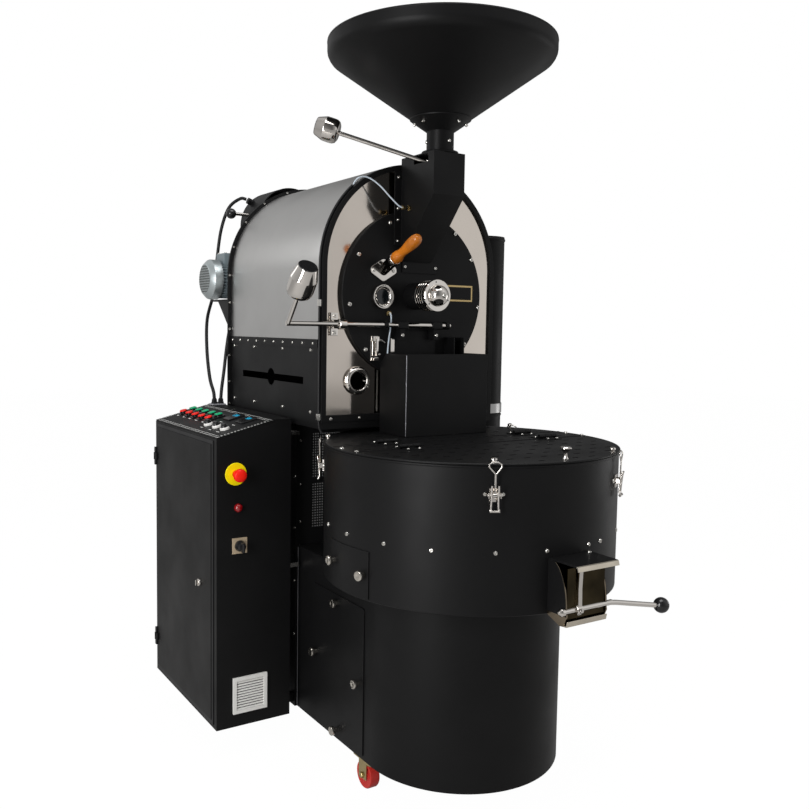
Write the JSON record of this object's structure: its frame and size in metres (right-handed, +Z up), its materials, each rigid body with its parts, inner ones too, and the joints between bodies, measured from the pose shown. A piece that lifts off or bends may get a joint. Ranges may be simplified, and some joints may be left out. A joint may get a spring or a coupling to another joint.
{
  "type": "coffee roaster",
  "caption": "Free-standing drum coffee roaster: hopper and feed chute, horizontal drum casing, round cooling bin with stirrer, gas burner base, control cabinet and casters.",
  "frame": {"origin": "on the floor under the middle of the whole machine's bounding box", "axes": "+Z up, +X to the right seen from the front, +Y to the back; the cooling bin is at the front"},
  "size_m": [1.0856, 1.7102, 2.14],
  "materials": {
    "black_coat": "satin powder coat",
    "silver_sheet": "satin sheet",
    "stainless": "mirror polished",
    "chrome": "polished",
    "steel": "machined",
    "iron": "heat blued",
    "motor_paint": "satin",
    "wood": "lacquered",
    "red_plastic": "moulded",
    "black_plastic": "moulded",
    "button_plastic": "moulded",
    "wheel_red": "satin tread",
    "zinc": "yellow passivated",
    "cable_sheath": "satin",
    "lead_sleeve": "braided sleeve"
  },
  "bodies": {
    "machine": {"pedestal_shell": "black_coat", "access_door": "black_coat", "base_housing": "black_coat", "front_mesh_panel": "steel", "cooling_bin": "black_coat", "bin_hatch": "black_coat", "bin_lid": "black_coat", "agitator_motor": "motor_paint", "chute_guard": "black_coat", "burner_housing": "black_coat", "burner_tray": "steel", "front_band": "black_coat", "front_plate": "stainless", "face_disc": "black_coat", "barrel_wrap": "silver_sheet", "rear_plate": "black_coat", "drive_motor": "motor_paint", "hub_housing": "chrome", "sight_glass": "chrome", "trier_socket": "chrome", "feed_chute": "black_coat", "hopper": "black_coat", "exhaust_hood": "black_coat", "exhaust_duct": "black_coat", "cooling_fan": "motor_paint", "cabinet_shell": "black_coat", "control_panel": "black_coat", "cable_loom": "cable_sheath", "upper_thermocouple_lead": "lead_sleeve", "lower_thermocouple_lead": "lead_sleeve"},
    "agitator": {"agitator": "steel"},
    "bin_gate": {"bin_gate": "chrome"},
    "button_pair_1": {"button_pair_1": "button_plastic"},
    "button_pair_2": {"button_pair_2": "button_plastic"},
    "button_pair_3": {"button_pair_3": "button_plastic"},
    "button_pair_4": {"button_pair_4": "button_plastic"},
    "button_pair_5": {"button_pair_5": "button_plastic"},
    "cabinet_door": {"cabinet_door": "black_coat"},
    "caster_fork_left": {"caster_fork_left": "zinc"},
    "caster_fork_right": {"caster_fork_right": "zinc"},
    "caster_wheel_front_left": {"caster_wheel_front_left": "wheel_red"},
    "caster_wheel_front_right": {"caster_wheel_front_right": "wheel_red"},
    "caster_wheel_rear_left": {"caster_wheel_rear_left": "wheel_red"},
    "caster_wheel_rear_right": {"caster_wheel_rear_right": "wheel_red"},
    "damper_slide": {"damper_slide": "chrome"},
    "discharge_door": {"discharge_door": "chrome"},
    "door_lock": {"door_lock": "chrome"},
    "drive_sprocket": {"drive_sprocket": "steel"},
    "drum": {"drum": "iron"},
    "estop_button": {"estop_button": "red_plastic"},
    "feed_lever": {"feed_lever": "chrome"},
    "lid_flap": {"lid_flap": "black_coat"},
    "lid_latch_1": {"lid_latch_1": "chrome"},
    "lid_latch_2": {"lid_latch_2": "chrome"},
    "lid_latch_3": {"lid_latch_3": "chrome"},
    "main_switch": {"main_switch": "black_plastic"},
    "selector_1": {"selector_1": "black_plastic"},
    "selector_2": {"selector_2": "black_plastic"},
    "selector_3": {"selector_3": "black_plastic"},
    "trier": {"trier": "wood"}
  },
  "joints": [
    {"name": "drum_turn", "type": "hinge", "parent": "machine", "child": "drum", "pos_m": [0.0598, 0.64488, 1.415], "axis": [0, 1, 0], "continuous": true},
    {"name": "drive_sprocket_turn", "type": "hinge", "parent": "machine", "child": "drive_sprocket", "pos_m": [-0.1002, 0.68588, 1.484], "axis": [0, 1, 0], "continuous": true},
    {"name": "agitator_turn", "type": "hinge", "parent": "machine", "child": "agitator", "pos_m": [0.0598, -0.34112, 0.8], "axis": [0, 0, 1], "continuous": true},
    {"name": "discharge_door_swing", "type": "hinge", "parent": "machine", "child": "discharge_door", "pos_m": [0.0598, -0.09012, 1.326], "axis": [-1, 0, 0], "range_deg": [0, 50]},
    {"name": "feed_gate_turn", "type": "hinge", "parent": "machine", "child": "feed_lever", "pos_m": [0.0598, -0.17212, 1.782], "axis": [0, 0, 1], "range_deg": [0, 45]},
    {"name": "trier_pull", "type": "slide", "parent": "machine", "child": "trier", "axis": [0, -0.915, 0.4035], "range_m": [0, 0.22]},
    {"name": "bin_gate_swing", "type": "hinge", "parent": "machine", "child": "bin_gate", "pos_m": [0.0648, -0.80512, 0.648], "axis": [1, 0, 0], "range_deg": [0, 75]},
    {"name": "lid_flap_lift", "type": "hinge", "parent": "machine", "child": "lid_flap", "pos_m": [0.0668, -0.38912, 1.0063], "axis": [-1, 0, 0], "range_deg": [0, 100]},
    {"name": "cabinet_door_swing", "type": "hinge", "parent": "machine", "child": "cabinet_door", "pos_m": [-0.5292, 0.66288, 0.544], "axis": [0, 0, -1], "range_deg": [0, 115]},
    {"name": "door_lock_turn", "type": "hinge", "parent": "cabinet_door", "child": "door_lock", "pos_m": [-0.5262, 0.23462, 0.52624], "axis": [-1, 0, 0], "range_deg": [0, 90]},
    {"name": "estop_press", "type": "slide", "parent": "machine", "child": "estop_button", "axis": [0, 1, 0], "range_m": [0, 0.006], "stiffness_N_per_m": 800, "springref_m": -0.006},
    {"name": "main_switch_turn", "type": "hinge", "parent": "machine", "child": "main_switch", "pos_m": [-0.4493, 0.10988, 0.65944], "axis": [0, 1, 0], "range_deg": [0, 90]},
    {"name": "damper_pull", "type": "slide", "parent": "machine", "child": "damper_slide", "axis": [-1, 0, 0], "range_m": [0, 0.06]},
    {"name": "latch_1_swing", "type": "hinge", "parent": "machine", "child": "lid_latch_1", "pos_m": [-0.14849, -0.70928, 0.925], "axis": [0.8704, -0.4924, 0], "range_deg": [0, 110]},
    {"name": "latch_2_swing", "type": "hinge", "parent": "machine", "child": "lid_latch_2", "pos_m": [0.27766, -0.7037, 0.925], "axis": [0.8572, 0.515, 0], "range_deg": [0, 110]},
    {"name": "latch_3_swing", "type": "hinge", "parent": "machine", "child": "lid_latch_3", "pos_m": [-0.29496, -0.11074, 0.925], "axis": [-0.5446, -0.8387, 0], "range_deg": [0, 110]},
    {"name": "fork_left_swivel", "type": "hinge", "parent": "machine", "child": "caster_fork_left", "pos_m": [-0.1952, -0.26012, 0.092], "axis": [0, 0, 1], "continuous": true},
    {"name": "fork_right_swivel", "type": "hinge", "parent": "machine", "child": "caster_fork_right", "pos_m": [0.3148, -0.26012, 0.092], "axis": [0, 0, 1], "continuous": true},
    {"name": "wheel_front_left_roll", "type": "hinge", "parent": "caster_fork_left", "child": "caster_wheel_front_left", "pos_m": [-0.1952, -0.23212, 0.04], "axis": [1, 0, 0], "continuous": true},
    {"name": "wheel_front_right_roll", "type": "hinge", "parent": "caster_fork_right", "child": "caster_wheel_front_right", "pos_m": [0.3148, -0.23212, 0.04], "axis": [1, 0, 0], "continuous": true},
    {"name": "wheel_rear_left_roll", "type": "hinge", "parent": "machine", "child": "caster_wheel_rear_left", "pos_m": [-0.1952, 0.57488, 0.04], "axis": [1, 0, 0], "continuous": true},
    {"name": "wheel_rear_right_roll", "type": "hinge", "parent": "machine", "child": "caster_wheel_rear_right", "pos_m": [0.3148, 0.57488, 0.04], "axis": [1, 0, 0], "continuous": true},
    {"name": "selector_1_turn", "type": "hinge", "parent": "machine", "child": "selector_1", "pos_m": [-0.46496, 0.3225, 1.00231], "axis": [-0.2425, 0, 0.9701], "range_deg": [0, 90]},
    {"name": "selector_2_turn", "type": "hinge", "parent": "machine", "child": "selector_2", "pos_m": [-0.46496, 0.25163, 1.00231], "axis": [-0.2425, 0, 0.9701], "range_deg": [0, 90]},
    {"name": "selector_3_turn", "type": "hinge", "parent": "machine", "child": "selector_3", "pos_m": [-0.46496, 0.18642, 1.00231], "axis": [-0.2425, 0, 0.9701], "range_deg": [0, 90]},
    {"name": "button_1_press", "type": "slide", "parent": "machine", "child": "button_pair_1", "axis": [0.2425, 0, -0.9701], "range_m": [0, 0.004], "stiffness_N_per_m": 500, "springref_m": -0.008},
    {"name": "button_2_press", "type": "slide", "parent": "machine", "child": "button_pair_2", "axis": [0.2425, 0, -0.9701], "range_m": [0, 0.004], "stiffness_N_per_m": 500, "springref_m": -0.008},
    {"name": "button_3_press", "type": "slide", "parent": "machine", "child": "button_pair_3", "axis": [0.2425, 0, -0.9701], "range_m": [0, 0.004], "stiffness_N_per_m": 500, "springref_m": -0.008},
    {"name": "button_4_press", "type": "slide", "parent": "machine", "child": "button_pair_4", "axis": [0.2425, 0, -0.9701], "range_m": [0, 0.004], "stiffness_N_per_m": 500, "springref_m": -0.008},
    {"name": "button_5_press", "type": "slide", "parent": "machine", "child": "button_pair_5", "axis": [0.2425, 0, -0.9701], "range_m": [0, 0.004], "stiffness_N_per_m": 500, "springref_m": -0.008}
  ],
  "couplings": [
    {"joint": "drive_sprocket_turn", "follows": "drum_turn", "ratio": 2.4545}
  ]
}
